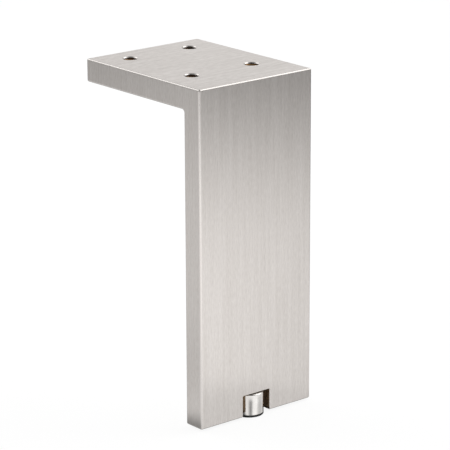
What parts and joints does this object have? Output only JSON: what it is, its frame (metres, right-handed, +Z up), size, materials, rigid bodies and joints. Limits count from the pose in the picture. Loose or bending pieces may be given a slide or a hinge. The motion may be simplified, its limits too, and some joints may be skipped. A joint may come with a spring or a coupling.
{
  "type": "adjustable furniture leg",
  "caption": "L-shaped furniture leg in one piece of thick flat metal, with tapped fixing holes in its top plate and a screw foot in a notch at the bottom of the leg.",
  "frame": {"origin": "on the plate's top face, at the centre of the four fixing holes", "axes": "+Z up into the furniture, along the fixing screws; X along the leg's width; the leg's wide outer face looks along -Y and the plate runs back along +Y"},
  "size_m": [0.06, 0.0762, 0.1459],
  "materials": {
    "brushed_bracket": "fine straight brushing, upright on the leg and across the plate's top face",
    "polished_screw": "turned and polished bright",
    "black_pad": "moulded matt black"
  },
  "bodies": {
    "bracket": {"bracket": "brushed_bracket"},
    "pad": {"glide_pad": "black_pad"},
    "screw": {"levelling_screw": "polished_screw"}
  },
  "joints": [
    {"name": "foot_travel", "type": "slide", "parent": "bracket", "child": "pad", "axis": [0, 0, -1], "range_m": [-0.0003, 0.01]},
    {"name": "screw_turn", "type": "hinge", "parent": "pad", "child": "screw", "pos_m": [0, -0.0375, -0.1459], "axis": [0, 0, -1], "range_deg": [-108, 3600]}
  ],
  "couplings": [
    {"joint": "foot_travel", "follows": "screw_turn", "m_per_rad": 0.00015915}
  ]
}
